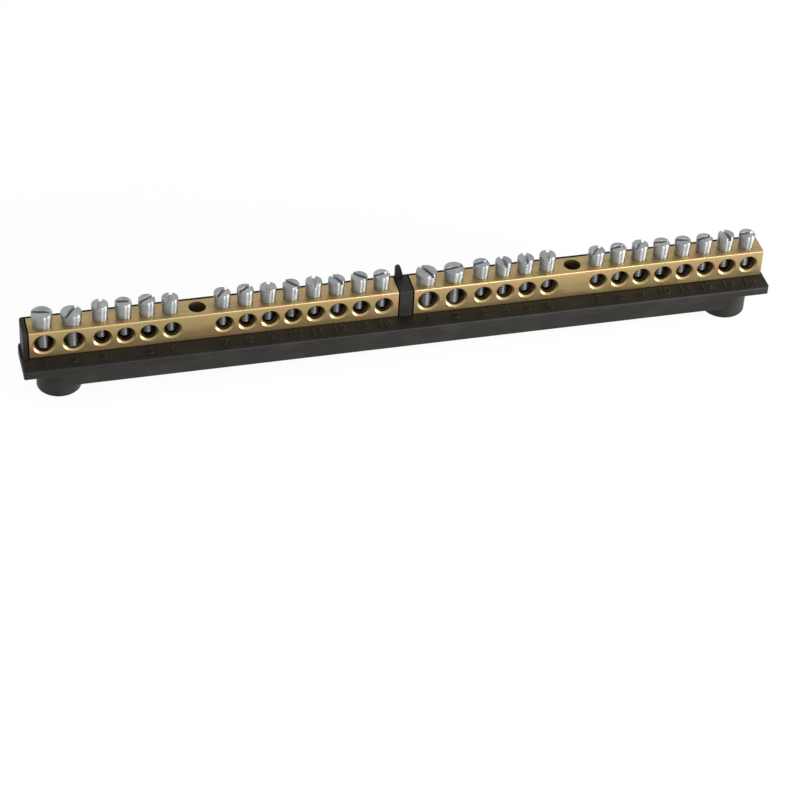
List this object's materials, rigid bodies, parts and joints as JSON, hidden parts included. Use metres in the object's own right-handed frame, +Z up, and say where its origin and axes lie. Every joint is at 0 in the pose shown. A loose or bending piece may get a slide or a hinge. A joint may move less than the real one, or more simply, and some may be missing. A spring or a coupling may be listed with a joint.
{
  "type": "earth terminal bar",
  "caption": "Two drilled brass bars on one black moulded carrier with round feet; slotted screws clamp earth conductors in the cross bores.",
  "frame": {"origin": "midway between the centres of the two feet, on the plane that the feet stand on", "axes": "+X along the bars, to the right seen from the cable side; -Y is the cable side with the numbered ledge; +Z up, out of the screw heads"},
  "size_m": [0.2326, 0.0154, 0.0265],
  "materials": {
    "moulding": "black moulded plastic, satin",
    "brass": "drawn and drilled brass, lightly tarnished",
    "plated_steel": "bright zinc plate over turned steel"
  },
  "bodies": {
    "root": {"carrier": "moulding", "left_bar": "brass", "right_bar": "brass", "left_main_screw_1": "plated_steel", "left_main_screw_2": "plated_steel", "left_branch_screw_3": "plated_steel", "left_branch_screw_4": "plated_steel", "left_branch_screw_5": "plated_steel", "left_branch_screw_6": "plated_steel", "left_branch_screw_7": "plated_steel", "left_branch_screw_8": "plated_steel", "left_branch_screw_9": "plated_steel", "left_branch_screw_10": "plated_steel", "left_branch_screw_11": "plated_steel", "left_branch_screw_12": "plated_steel", "left_branch_screw_13": "plated_steel", "left_branch_screw_14": "plated_steel", "right_main_screw_1": "plated_steel", "right_main_screw_2": "plated_steel", "right_branch_screw_3": "plated_steel", "right_branch_screw_4": "plated_steel", "right_branch_screw_5": "plated_steel", "right_branch_screw_6": "plated_steel", "right_branch_screw_7": "plated_steel", "right_branch_screw_8": "plated_steel", "right_branch_screw_9": "plated_steel", "right_branch_screw_10": "plated_steel", "right_branch_screw_11": "plated_steel", "right_branch_screw_12": "plated_steel", "right_branch_screw_13": "plated_steel", "right_branch_screw_14": "plated_steel"}
  },
  "joints": []
}
